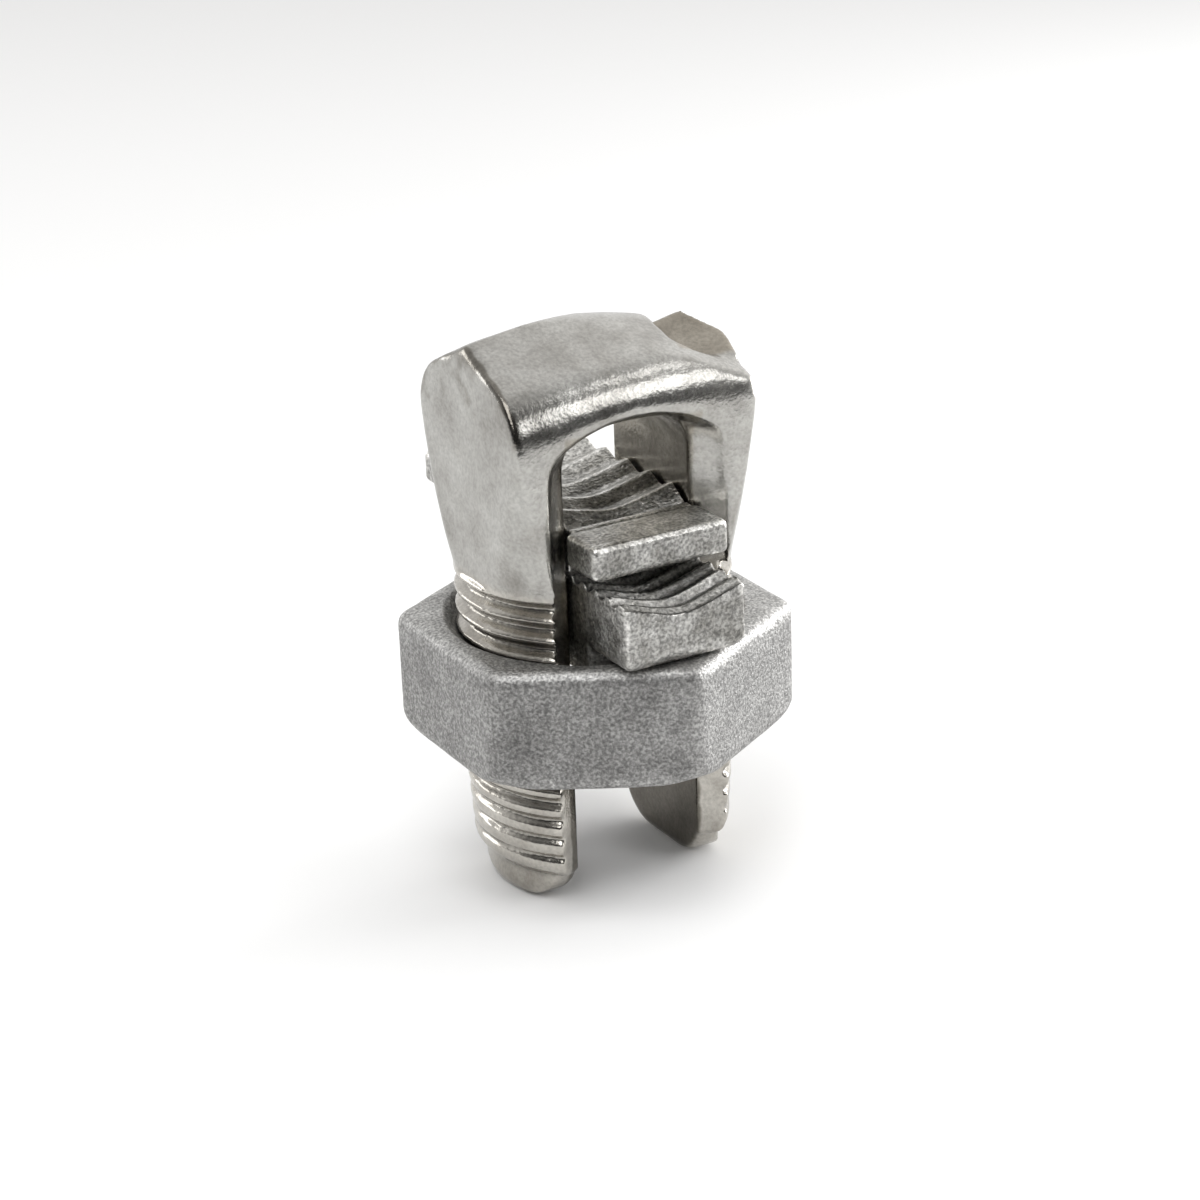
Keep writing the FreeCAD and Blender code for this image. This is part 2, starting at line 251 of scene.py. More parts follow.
def finishPiece(piece, node, body, material):
    activate(piece)
    piece.scale = (millimetre, millimetre, millimetre)
    bpy.ops.object.transform_apply(location=False, rotation=False, scale=True)
    bpy.ops.object.shade_smooth()
    piece.data.materials.clear()
    piece.data.materials.append(material)
    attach(piece, body)
    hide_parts(node)
    print(piece.name, "finished,", len(piece.data.polygons), "faces")


# Tinned metal

def tinnedMetal(name, look):
    material = bpy.data.materials.new(name)
    material.use_nodes = True
    nodes = material.node_tree.nodes
    links = material.node_tree.links
    shader = nodes["Principled BSDF"]
    shader.inputs["Metallic"].default_value = 1.0

    place = nodes.new("ShaderNodeTexCoord")

    def noise(scale, detail, roughness=0.5):
        node = nodes.new("ShaderNodeTexNoise")
        node.inputs["Scale"].default_value = scale
        node.inputs["Detail"].default_value = detail
        node.inputs["Roughness"].default_value = roughness
        links.new(place.outputs["Object"], node.inputs["Vector"])
        return node

    def ramp(source, stops):
        node = nodes.new("ShaderNodeValToRGB")
        while len(node.color_ramp.elements) < len(stops):
            node.color_ramp.elements.new(0.5)
        for element, (position, colour) in zip(node.color_ramp.elements, stops):
            element.position = position
            element.color = (*colour, 1.0)
        links.new(source, node.inputs["Fac"])
        return node

    def grey(value):
        return (value, value, value)

    def multiplied(first):
        # node that multiplies a colour by what its input B is given
        node = nodes.new("ShaderNodeMix")
        node.data_type = "RGBA"
        node.blend_type = "MULTIPLY"
        node.inputs["Factor"].default_value = 1.0
        links.new(first, node.inputs["A"])
        return node

    def times(first, second):
        node = multiplied(first)
        links.new(second, node.inputs["B"])
        return node.outputs["Result"]

    def tinted(first, tint, share):
        # colour times a fixed tint, as far as the share says
        node = multiplied(first)
        node.inputs["B"].default_value = (*tint, 1.0)
        links.new(share, node.inputs["Factor"])
        return node.outputs["Result"]

    def product(first, second):
        node = nodes.new("ShaderNodeMath")
        node.operation = "MULTIPLY"
        links.new(first, node.inputs[0])
        links.new(second, node.inputs[1])
        return node.outputs["Value"]

    def bump(source, strength, depth):
        node = nodes.new("ShaderNodeBump")
        node.inputs["Strength"].default_value = strength
        node.inputs["Distance"].default_value = depth
        links.new(source.outputs["Fac"], node.inputs["Height"])
        return node

    # The place is made a little unsteady, so that no zone has a ruled border.
    shake = 0.0006  # metres
    wander = noise(500, 2)
    shaken = nodes.new("ShaderNodeVectorMath")
    shaken.operation = "MULTIPLY_ADD"
    links.new(wander.outputs["Color"], shaken.inputs[0])
    shaken.inputs[1].default_value = (shake, shake, shake)
    links.new(place.outputs["Object"], shaken.inputs[2])
    axes = nodes.new("ShaderNodeSeparateXYZ")
    links.new(shaken.outputs["Vector"], axes.inputs["Vector"])
    width = nodes.new("ShaderNodeMath")
    width.operation = "ABSOLUTE"
    links.new(axes.outputs["X"], width.inputs[0])
    flat = nodes.new("ShaderNodeVectorMath")
    flat.operation = "DOT_PRODUCT"
    flat.inputs[1].default_value = (-0.5, -0.866, 0)  # square to the nut's front left face
    links.new(shaken.outputs["Vector"], flat.inputs[0])
    places = {"x": axes.outputs["X"], "y": axes.outputs["Y"], "z": axes.outputs["Z"],
              "width": width.outputs["Value"], "flat": flat.outputs["Value"]}

    def limit(axis, start, full):
        # 0 at the start and 1 from full on, both given in millimetres
        node = nodes.new("ShaderNodeMapRange")
        node.interpolation_type = "SMOOTHSTEP"
        node.inputs["From Min"].default_value = start * millimetre + shake / 2
        node.inputs["From Max"].default_value = full * millimetre + shake / 2
        links.new(places[axis], node.inputs["Value"])
        return node.outputs["Result"]

    # Cloudy tint: cool tin with warmer, darker patches.
    patches = noise(look["patchScale"], 5, 0.6)
    tint = ramp(patches.outputs["Fac"], [
        (0.32, look["dark"]), (0.5, look["middle"]), (0.7, look["light"])])

    # Speckle of the cast skin, seen as tiny dark pits and bright points.
    speckle = noise(look["grainScale"], 2, 0.6)
    pits = ramp(speckle.outputs["Fac"], [
        (0.34, grey(1 - look["speckle"])), (0.5, grey(1.0)), (0.64, grey(1 + look["sparkle"]))])
    mottled = times(tint.outputs["Color"], pits.outputs["Color"])

    # Zones of their own tone, such as faces that keep the brown of the forging, and zones of
    # painted shade and painted light, such as faces in the slot, the nut's front face and the
    # lighter tops.
    for zone in look["zones"]:
        mask = None
        for axis, start, full in zone["limits"]:
            level = limit(axis, start, full)
            mask = level if mask is None else product(mask, level)
        mottled = tinted(mottled, zone["tint"], mask)

    # Painted highlight on ridges and painted shade in hollows, by the skin's pointiness.
    shape = nodes.new("ShaderNodeNewGeometry")
    reliefLight = ramp(shape.outputs["Pointiness"], [
        (0.44, grey(look["hollow"])), (0.5, grey(1.0)), (0.57, grey(look["ridgeHighlight"]))])
    reliefLitColour = times(mottled, reliefLight.outputs["Color"])
    links.new(reliefLitColour, shader.inputs["Base Color"])

    # Gloss varies in patches and in the grain.
    low, high = look["roughness"]
    glossScale = 2.3 * look["patchScale"]
    gloss = noise(glossScale, 4, 0.6)
    glossRamp = ramp(gloss.outputs["Fac"], [(0.3, grey(low)), (0.7, grey(high))])
    links.new(glossRamp.outputs["Color"], shader.inputs["Roughness"])

    # Bumps: soft dents, then the grain on top.
    dentDepth, grainDepth = 0.0002, 0.0001
    dents = noise(look["dentScale"], 3)
    dentBump = bump(dents, look["dentStrength"], dentDepth)
    grainBump = bump(speckle, look["grainStrength"], grainDepth)
    links.new(dentBump.outputs["Normal"], grainBump.inputs["Normal"])
    links.new(grainBump.outputs["Normal"], shader.inputs["Normal"])
    return material


forgedTin = {
    "dark": (0.29, 0.28, 0.26),
    "middle": (0.385, 0.377, 0.356),
    "light": (0.46, 0.455, 0.433),
    "patchScale": 260,      # noise scales are per metre
    "grainScale": 3400,
    "speckle": 0.12,
    "sparkle": 0.10,
    "roughness": (0.16, 0.27),
    "dentScale": 420,
    "dentStrength": 0.2,
    "grainStrength": 0.2,
    "ridgeHighlight": 1.08,            # brightness of ridges and of hollows: painted highlight on ridges, painted shade in hollows
    "hollow": 0.5,
    "zones": [
        {"tint": (0.84, 0.785, 0.71),   # top of the lip
         "limits": [("x", 5.2, 5.9), ("y", -5.3, -4.7), ("z", 2.4, 3.0)]},
        {"tint": (0.84, 0.81, 0.76),    # inner faces: painted shade inside the slot
         "limits": [("width", 5.8, 5.5), ("z", 0.6, 0.1)]},
        {"tint": (0.42, 0.42, 0.42),    # their lower ends: deeper painted shade between the legs
         "limits": [("width", 5.8, 5.5), ("z", -24.0, -27.0)]},
        {"tint": (1.16, 1.13, 1.09),    # thread and leg ends
         "limits": [("z", -11.4, -12.4)]},
        {"tint": (0.55, 0.53, 0.50),    # painted shade along the step at the left end's upper edge
         "limits": [("x", -9.7, -9.95), ("x", -10.4, -10.2), ("z", 0.0, 1.0)]},
    ],
}
saddleTin = {
    "dark": (0.22, 0.215, 0.20),
    "middle": (0.33, 0.325, 0.31),
    "light": (0.45, 0.445, 0.43),
    "patchScale": 620,
    "grainScale": 3800,
    "speckle": 0.42,
    "sparkle": 0.45,
    "roughness": (0.28, 0.43),
    "dentScale": 600,
    "dentStrength": 0.35,
    "grainStrength": 0.65,
    # painted highlight on ridges and painted shade in hollows
    "ridgeHighlight": 2.1,
    "hollow": 0.3,
    "zones": [
        {"tint": (1.5, 1.5, 1.5),       # top of the spacer: painted light
         "limits": [("z", -8.0, -7.5)]},
    ],
}
castTin = {
    "dark": (0.235, 0.232, 0.227),
    "middle": (0.285, 0.282, 0.276),
    "light": (0.335, 0.332, 0.326),
    "patchScale": 240,
    "grainScale": 4200,
    "speckle": 0.38,
    "sparkle": 0.5,
    "roughness": (0.44, 0.56),
    "dentScale": 500,
    "dentStrength": 0.25,
    "grainStrength": 0.8,
    # painted highlight on ridges and painted shade in hollows
    "ridgeHighlight": 1.3,
    "hollow": 0.6,
    "zones": [
        {"tint": (0.48, 0.48, 0.48),    # front left face: painted shade
         "limits": [("flat", 12.6, 13.3)]},
        {"tint": (1.4, 1.4, 1.4),       # top: painted light
         "limits": [("z", -17.3, -16.9)]},
    ],
}
boltMetal = tinnedMetal("forgedTin", forgedTin)
saddleMetal = tinnedMetal("saddleTin", saddleTin)
nutMetal = tinnedMetal("castTin", castTin)
print("materials made")


# Split bolt

bolt = {
    "slotHalf": 5.4,        # half width between the legs
    "slotCorner": 2.9,
    "slotFace": 5.8,        # half depth of the inner faces
    "mouthHalf": 7.55,      # half width of the flared mouth
    "mouthDepth": 7.2,      # half depth from which the mouth has its full width
    "mouthRise": 0.9,
    "mouthArch": 12.0,
    "mouthCorner": 2.6,
    "slotTop": (1.6, 0.8),  # points on the flat top, as many as on the mouth's arch
    "slotFoot": -50.0,
    "slotReach": 30.0,
    "headHalf": 10.4,
    "headDepth": 7.75,      # half depth of the head
    "headFoot": -20.0,
    "clear": 12.0,          # outside the head on every side, for what trims it
    "crownEave": 3.78,      # height where slope and wall would meet
    "crownArch": 85.0,
    "crownSwing": 36.0,
    "crownSteps": 56,
    "crownPeakX": 3.0,
    "crownSlope": 25.3,
    "brow": 4.5,
    "crownHeight": 7.05,
    "ridgeArch": 38.0,
    "ridgeSwing": 80.0,
    "ridgeSteps": 80,
    "ridgePeakX": -4.0,
    "ridgeSlope": 17.0,
    "ridge": 6.0,           # radius of the round ridge
    "lipBorder": [(5.7, 0.5), (5.35, -1.5), (5.6, -3.6), (6.8, -4.8), (10.0, -5.4)],
    "lipFloor": -1.5,       # floor of the lip's pocket, and the lip's own lower end
    "lipFoot": -1.4,
    "lipWide": 15.0,        # half width and base of the gable before it is trimmed
    "lipBase": -10.0,
    "lipStartX": 5.9,
    "lipStartZ": 5.22,
    "lipRise": 0.22,
    "lipSlope": 26.5,
    "lipRimX": 8.45,
    "lipSlant": 58.7,
    "lipTurn": 20.5,
    "slantHeight": 20.0,
    "threadRadius": 10.8,
    "threadRoot": 9.95,
    "pitch": 1.5875,
    "sunkDepth": 0.6,       # how far the thread's ridge is sunk in the core
    "sunkHalf": 0.75,       # half widths of the ridge: there, at the root and at the crest
    "rootHalf": 0.68,
    "crestHalf": 0.12,
    "spare": 0.02,          # the ridge stands out by this much at root and crest
    "coreInto": 0.4,        # how far the core reaches into the head
    "threadTop": -11.9,
    "runout": [(0.0, -0.5), (0.75, 0.1)],   # depth of cut and height over the thread's top
    "taperFrom": -24.85,
    "threadEnd": -34.9,
    "threadTip": [(0.25, -0.55), (0.8, 0.0), (0.9, 0.15)],  # out from the pilot, over the end
    "threadPhase": -37.0,   # height of the thread's ridge where it starts, over the +X leg
    "pilotRadius": 9.25,
    "pilotNeck": [(0.0, -0.4), (0.58, 0.2)],    # the same for the core
    "pilotEdge": [(0.9, 0.0), (0.6, 0.08), (0.25, 0.3), (0.06, 0.62), (0.0, 0.95)],
    "legEnd": -38.1,
    "tipCorner": 4.0,
    "tipHalf": 6.2,
    "tipEdge": 0.7,
    "tipTop": -35.5,        # height where the rounded leg ends begin
    "tipReach": 8.0,
    "overlap": 0.5,
    "shoulderRadius": 13.0,
    "shoulderBulge": 0.2,
    "shoulderTop": 1.5,
    "shoulderSteps": 8,
    "voxel": 0.18,
    "softRounds": 5,
    "softZones": [          # more rounds, and the borders within which they act, for the
        # head, the leg ends, the left end, the mouths, the ridge's left end, the lip's front
        (8, [("z", -11.6, 0.8)]),
        (4, [("z", -24.0, -2.0)]),
        (12, [("x", -9.2, -1.0), ("z", -9.0, 1.0)]),
        (80, [("z", -11.2, 1.5), ("z", 3.2, -1.5), ("depth", 5.4, 1.2), ("width", 9.5, -0.8)]),
        (70, [("x", -5.5, -2.5), ("depth", 3.5, -1.5), ("z", 2.5, 1.0)]),
        (30, [("x", 6.6, 1.5), ("y", -4.0, -1.0), ("z", 0.5, 1.0)]),
    ],
    "seamRounds": 16,
    "seamX": 5.5,           # the lip's seam runs along this x and along this y
    "seamY": -5.1,
    "seamCorner": (0.3, 0.7),   # x and y past the corner where each of them ends
    "seamReach": 1.2,
    "seamFloor": 2.5,
    "skinSize": 3.0,
    "skinDepth": 0.06,
    "keptFaces": 0.63,
}


def arcPoints(cx, cz, radius, start, end, count=8):
    # count + 1 points (x, z) from the start angle to the end angle, in degrees
    points = []
    for i in range(count + 1):
        t = math.radians(start + (end - start) * i / count)
        points.append((cx + radius * math.cos(t), cz + radius * math.sin(t)))
    return points


def mirrored(right):
    # whole outline from its right half, whose last point lies on the middle line
    return right + [(-a, z) for a, z in reversed(right[:-1])]


def gableOutline():
    # end view of the head: gable with rounded brows, as (y, z) points
    slope = math.radians(bolt["crownSlope"])
    half, eave, brow = bolt["headDepth"], bolt["crownEave"], bolt["brow"]
    cut = brow * math.tan((math.pi / 2 - slope) / 2)
    side = arcPoints(half - brow, eave - cut, brow, 0, 90 - bolt["crownSlope"])
    apex = eave + half * math.tan(slope)
    return mirrored([(half, bolt["headFoot"])] + side + [(0, apex)]), apex


def ridgeOutline():
    # flatter gable with a rounded ridge, which the crown's ridge stays under
    slope = math.radians(bolt["ridgeSlope"])
    top, ridge, half = bolt["crownHeight"], bolt["ridge"], bolt["headDepth"] + 1
    roof = arcPoints(0, top - ridge, ridge, 90 - bolt["ridgeSlope"], 90, 6)
    y, z = roof[0]
    eave = z - (half - y) * math.tan(slope)
    return mirrored([(half, bolt["headFoot"]), (half, eave)] + roof), top


def slotOutline(y):
    half, corner = bolt["slotHalf"], bolt["slotCorner"]
    wall = [(half, bolt["slotFoot"])] + arcPoints(half - corner, -corner, corner, 0, 90)
    top = [(x, 0) for x in bolt["slotTop"]]
    return [(x, y, z) for x, z in mirrored(wall + top + [(0, 0)])]


def mouthOutline(y):
    half, corner = bolt["mouthHalf"], bolt["mouthCorner"]
    arch, rise = bolt["mouthArch"], bolt["mouthRise"]
    reach = arch - corner
    cornerX = half - corner
    cornerZ = rise - arch + math.sqrt(reach ** 2 - cornerX ** 2)
    turn = math.degrees(math.asin(cornerX / reach))
    wall = [(half, bolt["slotFoot"])] + arcPoints(cornerX, cornerZ, corner, 0, 90 - turn)
    top = arcPoints(0, rise - arch, arch, 90 - turn, 90, 3)[1:3]
    return [(x, y, z) for x, z in mirrored(wall + top + [(0, rise)])]


def lipPocket():
    # the corner of the head that the lip fills
    b = bolt
    far, clear, floor = 2 * b["headHalf"], b["clear"], b["lipFloor"]
    border = b["lipBorder"]
    plan = [(border[0][0], clear)] + border + [(far, border[-1][1]), (far, clear)]
    return extruded("pocket", [(x, y, floor) for x, y in plan], (0, 0, clear + 1))


def makeLip():
    # gable that rises towards the crown's +X end, slanted off at the rear
    b = bolt
    wide, far, reach = b["lipWide"], 2 * b["headHalf"], b["slotReach"]
    drop = wide * math.tan(math.radians(b["lipSlope"]))

    def ridgeHeight(x):
        return b["lipStartZ"] + b["lipRise"] * (x - b["lipStartX"])

    rings = []
    for x in (b["lipStartX"] - 1, far):
        z = ridgeHeight(x)
        rings.append([(x, -wide, z - drop), (x, 0, z), (x, wide, z - drop),
                      (x, wide, b["lipBase"]), (x, -wide, b["lipBase"])])
    lip = bridged("lip", rings)
    combine(lip, lipPocket(), "INTERSECT")
    end = block("end", (0, -b["headDepth"], b["lipFoot"]),
                (b["headHalf"], b["headDepth"], b["clear"]))
    combine(lip, end, "INTERSECT")
    slant = block("slant", (-reach, -reach, 0), (reach, reach, b["slantHeight"]))
    slant.rotation_euler = (0, math.radians(b["lipSlant"]), math.radians(b["lipTurn"]))
    slant.location = (b["lipRimX"], 0, ridgeHeight(b["lipRimX"]))
    activate(slant)
    bpy.ops.object.transform_apply(location=True, rotation=True, scale=True)
    combine(lip, slant, "DIFFERENCE")
    return lip


def makeHead():
    b = bolt
    clear = b["clear"]
    outline, apex = gableOutline()
    head = swung("splitBolt", [(b["crownPeakX"], y, z) for y, z in outline],
                 (b["crownPeakX"], 0, apex - b["crownArch"]), (0, 1, 0),
                 math.radians(b["crownSwing"]), b["crownSteps"])
    outline, top = ridgeOutline()
    ridge = swung("ridge", [(b["ridgePeakX"], y, z) for y, z in outline],
                  (b["ridgePeakX"], 0, top - b["ridgeArch"]), (0, 1, 0),
                  math.radians(b["ridgeSwing"]), b["ridgeSteps"])
    combine(head, ridge, "INTERSECT")
    ends = block("ends", (-b["headHalf"], -clear, b["threadTop"] - b["overlap"]),
                 (b["headHalf"], clear, clear))
    combine(head, ends, "INTERSECT")

    # The barrel takes the block's corners off, down to the thread's diameter.
    z0, z1 = b["threadTop"], b["shoulderTop"]
    r0, r1 = b["threadRadius"], b["shoulderRadius"]
    side = [(0, z0 - 1), (r0, z0 - 1), (r0, z0)]
    for i in range(1, b["shoulderSteps"] + 1):
        t = i / b["shoulderSteps"]
        bulge = b["shoulderBulge"] * 4 * t * (1 - t)
        side.append((r0 + (r1 - r0) * t + bulge, z0 + (z1 - z0) * t))
    barrel = turned("barrel", side + [(r1, clear), (0, clear)])
    combine(head, barrel, "INTERSECT")

    combine(head, lipPocket(), "DIFFERENCE")
    combine(head, makeLip(), "UNION")
    print("head shaped")
    return head


def makeShank():
    b = bolt
    root, end, pilot = b["threadRoot"], b["threadEnd"], b["pilotRadius"]
    low, top = b["legEnd"], b["threadTop"]
    edge = [(pilot - inward, low + up) for inward, up in b["pilotEdge"]]
    neck = [(pilot + out, end + h) for out, h in b["pilotNeck"]]
    into = top + b["coreInto"]
    core = turned("shank", [(0, low)] + edge + neck + [
        (root, b["taperFrom"]), (root, into), (0, into)])

    # Thread: a ridge wound round the core, trimmed by the bolt's outer form.
    radius, spare = b["threadRadius"], b["spare"]
    flank = [(root - b["sunkDepth"], b["sunkHalf"]), (root - spare, b["rootHalf"]),
             (radius + spare, b["crestHalf"])]
    section = [(r, -half) for r, half in flank] + flank[::-1]
    turns = math.ceil((top - end) / b["pitch"]) + 3
    thread = coil("thread", section, b["threadPhase"], b["pitch"], turns)
    tip = [(pilot + out, end + h) for out, h in b["threadTip"]]
    runout = [(radius - cut, top + h) for cut, h in b["runout"]]
    envelope = turned("envelope", [(0, tip[0][1])] + tip + [(radius, b["taperFrom"])]
                      + runout + [(0, runout[-1][1])])
    combine(thread, envelope, "INTERSECT")
    combine(core, thread, "UNION")
    print("shank threaded")
    return core


def makeTongues():
    # both leg ends, seen from the side as rounded tongues with broken inner edges
    b = bolt
    w, r, low, edge = b["tipHalf"], b["tipCorner"], b["legEnd"], b["tipEdge"]

    def ring(x, inset):
        radius = r - inset
        width = w - inset
        corner = arcPoints(width - radius, low + inset + r - inset, radius, 0, -90)
        right = [(width, low + b["clear"])] + corner
        left = [(-y, z) for y, z in reversed(right)]
        return [(x, y, z) for y, z in right + left]

    x0, chamfer = b["slotHalf"], edge * 0.3
    rings = [ring(x0 - b["overlap"], edge), ring(x0, edge), ring(x0 + chamfer, chamfer),
             ring(x0 + edge, 0.0), ring(x0 + b["tipReach"], 0.0)]
    tongue = bridged("tongueRight", rings)
    otherRings = [[(-x, y, z) for x, y, z in points] for points in rings]
    combine(tongue, bridged("tongueLeft", otherRings), "UNION")
    return tongue


def lipSeam(x, y, z):
    # share of softening where the lip meets the crown, along its left and its front border
    b = bolt
    pastX, pastY = b["seamCorner"]
    away = b["clear"]
    left = abs(x - b["seamX"]) if y > b["seamY"] + pastY else away
    front = abs(y - b["seamY"]) if x > b["seamX"] + pastX else away
    return min(z - b["seamFloor"], b["seamReach"] - min(left, front))


def makeBolt():
    b = bolt
    clear, reach = b["clear"], b["slotReach"]
    shank = makeShank()
    limit = block("limit", (-clear, -clear, b["tipTop"]), (clear, clear, 0))
    combine(limit, makeTongues(), "UNION")
    combine(shank, limit, "INTERSECT")

    head = makeHead()
    combine(head, shank, "UNION")
    a, c = b["slotFace"], b["mouthDepth"]
    slot = bridged("slot", [mouthOutline(-reach), mouthOutline(-c), slotOutline(-a),
                            slotOutline(a), mouthOutline(c), mouthOutline(reach)])
    combine(head, slot, "DIFFERENCE")
    cast(head, b["voxel"])

    # Forged edges are soft: most at the mouths, less on the crown, least on the thread.
    soften(head, b["softRounds"])
    for rounds, borders in b["softZones"]:
        soften(head, rounds, within(borders))
    soften(head, b["seamRounds"], lipSeam)
    roughen(head, b["skinSize"], b["skinDepth"])
    lighten(head, b["keptFaces"])
    print("split bolt cast")
    return head


# Hexagon nut

nut = {
    "acrossFlats": 27.0,
    "top": -16.6,
    "height": 9.75,
    "edge": 1.0,
    "edgeSteps": 4,
    "domeFoot": 12.9,       # radius of the flat lower face, then inward and up from it
    "dome": [(1.35, 0.4), (0.65, 0.85), (0.25, 1.45), (0.05, 2.1), (-0.06, 2.8)],
    "topEdge": (0.4, 0.5),  # inward, down
    "sinkRadius": 11.7,
    "sinkDepth": 1.6,
    "minorRadius": 9.98,
    "threadRadius": 10.9,
    "chamfer": [(1.6, -1.0), (0.2, 0.35)],  # over the thread's radius, over the lower face
    "chamferTop": 1.2,
    "grooveSpare": 0.5,
    "grooveHalf": 0.74,     # half widths of the thread's groove: inside and at its bottom
    "bottomHalf": 0.1,
    "startTurns": 4.5,      # turns above the start of the ridge on the bolt
    "voxel": 0.2,
    "softRounds": 4,
    "skinSize": 2.5,
    "skinDepth": 0.06,
}


def makeNut():
    n = nut
    corner = n["acrossFlats"] / math.sqrt(3)
    top, low = n["top"], n["top"] - n["height"]
    deselectAll()
    bpy.ops.mesh.primitive_cylinder_add(vertices=6, radius=corner, depth=n["height"],
                                        location=(0, 0, (top + low) / 2))
    piece = bpy.context.object
    bpy.ops.object.transform_apply(location=True)
    piece.name = "hexNut"
    roundEdges(piece, n["edge"], n["edgeSteps"])

    # The lower corners are drawn in to a dome, the upper ones only just broken.
    side = [(corner - inward, low + up) for inward, up in n["dome"]]
    inward, down = n["topEdge"]
    dome = turned("dome", [(0, low), (n["domeFoot"], low)] + side + [
        (side[-1][0], top - down), (corner - inward, top), (0, top)], 192)
    combine(piece, dome, "INTERSECT")

    radius, minor, sink = n["threadRadius"], n["minorRadius"], n["sinkRadius"]
    chamfer = [(radius + out, low + up) for out, up in n["chamfer"]]
    bore = turned("bore", [(0, low - 1)] + chamfer + [
        (minor, low + n["chamferTop"]), (minor, top - n["sinkDepth"]),
        (sink, top), (sink, top + 1), (0, top + 1)])
    inside = minor - n["grooveSpare"]
    groove = [(inside, -n["grooveHalf"]), (radius, -n["bottomHalf"]),
              (radius, n["bottomHalf"]), (inside, n["grooveHalf"])]
    pitch = bolt["pitch"]
    turns = math.ceil(n["height"] / pitch) + 2
    start = bolt["threadPhase"] + n["startTurns"] * pitch
    combine(piece, coil("nutThread", groove, start, pitch, turns), "DIFFERENCE")
    combine(piece, bore, "DIFFERENCE")
    cast(piece, n["voxel"])
    soften(piece, n["softRounds"])
    roughen(piece, n["skinSize"], n["skinDepth"])
    print("nut cast")
    return piece


# Saddles

rib = {
    "height": 0.55,
    "crest": 0.28,
    "valley": 0.45,
    "land": 0.3,            # depth of the plain ends below the ribs' crests
    "cutReach": 7.0,
    "cutSteps": 28,
    "cutSink": 0.6,         # share of the soft bottom's radius that the V sinks by
}


def ribRow(centre, pitch, count, ground):
    # side view of the ribs as (y, z) points
    half = rib["crest"] / 2
    rise = (pitch - rib["crest"] - rib["valley"]) / 2
    first = centre - pitch * (count - 1) / 2
    points = []
    for i in range(count):
        y = first + i * pitch
        points += [(y - half - rise, ground), (y - half, ground + rib["height"]),
                   (y + half, ground + rib["height"]), (y + half + rise, ground)]
    return points


def cutGroove(piece, outline, slope, soft):
    # takes away all inside the outline, which follows a V across the piece with a soft bottom
    reach, steps = rib["cutReach"], rib["cutSteps"]

    def height(x):
        return slope * (math.sqrt(x * x + soft * soft) - rib["cutSink"] * soft)

    cutter = drawLine("groove", [(-reach, y, z + height(reach)) for y, z in outline])
    bpy.ops.mesh.edge_face_add()
    for i in range(steps):
        x = reach * (2 * i / steps - 1)
        ahead = x + 2 * reach / steps
        step = (ahead - x, 0, height(ahead) - height(x))
        bpy.ops.mesh.extrude_region_move(TRANSFORM_OT_translate={"value": step})
    closeUp()
    combine(piece, cutter, "DIFFERENCE")


bar = {
    "half": 5.2,
    "length": 27.8,
    "height": 5.7,
    "slope": 0.35,
    "floor": 4.1,           # crest height above the nut, in the middle
    "ribPitch": 1.83,
    "ribCount": 15,
    "soft": 1.4,
    "corner": 1.2,
    "shoulder": 1.1,        # rounding of the long upper edges
    "roundSteps": 5,
    "bossRadius": 9.6,
    "bossDepth": 2.0,
    "voxel": 0.125,
    "softRounds": 3,
    "skinSize": 1.6,
    "skinDepth": 0.08,
}


def makeBar():
    p = bar
    top, end, half = nut["top"], p["length"] / 2, p["half"]

    def upperLong(a, b):
        return abs(a.y - b.y) > 1 and min(a.z, b.z) > top + 1 and abs(a.x - b.x) < 0.001

    def belowShoulder(a, b):
        return max(a.z, b.z) < top + p["height"] - p["shoulder"] + 0.01

    piece = block("pressureBar", (-half, -end, top), (half, end, top + p["height"]))
    roundEdges(piece, p["shoulder"], p["roundSteps"], upperLong)
    roundEdges(piece, p["corner"], p["roundSteps"], belowShoulder)
    crest = top + p["floor"]
    land = crest - rib["land"]
    ribs = ribRow(0, p["ribPitch"], p["ribCount"], crest - rib["height"])
    y0, y1 = ribs[0][0], ribs[-1][0]
    first, last, above = y0 - 2, y1 + 2, top + 14
    outline = [(first, land), (y0, land)] + ribs[1:-1] + [(y1, land), (last, land)]
    cutGroove(piece, outline + [(last, above), (first, above)], p["slope"], p["soft"])

    deselectAll()
    depth = p["bossDepth"]
    bpy.ops.mesh.primitive_cylinder_add(vertices=96, radius=p["bossRadius"], depth=depth + 1,
                                        location=(0, 0, top - depth / 2 + 0.5))
    boss = bpy.context.object
    bpy.ops.object.transform_apply(location=True)
    width = block("width", (-half, -20, top - 5), (half, 20, top + 5))
    combine(boss, width, "INTERSECT")
    combine(piece, boss, "UNION")
    cast(piece, p["voxel"])
    soften(piece, p["softRounds"])
    roughen(piece, p["skinSize"], p["skinDepth"])
    print("pressure bar cast")
    return piece


spacer = {
    "half": 5.2,
    "shift": 3.05,          # how far it stands out at the rear
    "length": 27.6,
    "rise": 0.8,
    "thickness": 2.7,
    "saddleEnd": 0.375,     # metal past the last rib's pitch
    "slant": 0.9,           # drop of the saddle's ends below its ribs, and once more beyond
    "slantBeyond": 0.6,
    "flange": 4.5,
    "flangeHalf": 5.85,
    "corner": 0.5,
    "cornerSteps": 3,
    "slope": 0.24,
    "drop": 0.15,
    "soft": 1.0,
    "roofSlope": 0.2,       # underside
    "roofSink": 0.2,
    "roofRib": 0.6,         # share of the rib's height
    "ribPitch": 3.35,
    "ribCount": 5,
    "voxel": 0.12,
    "softRounds": 3,
    "skinSize": 1.6,
    "skinDepth": 0.05,
}


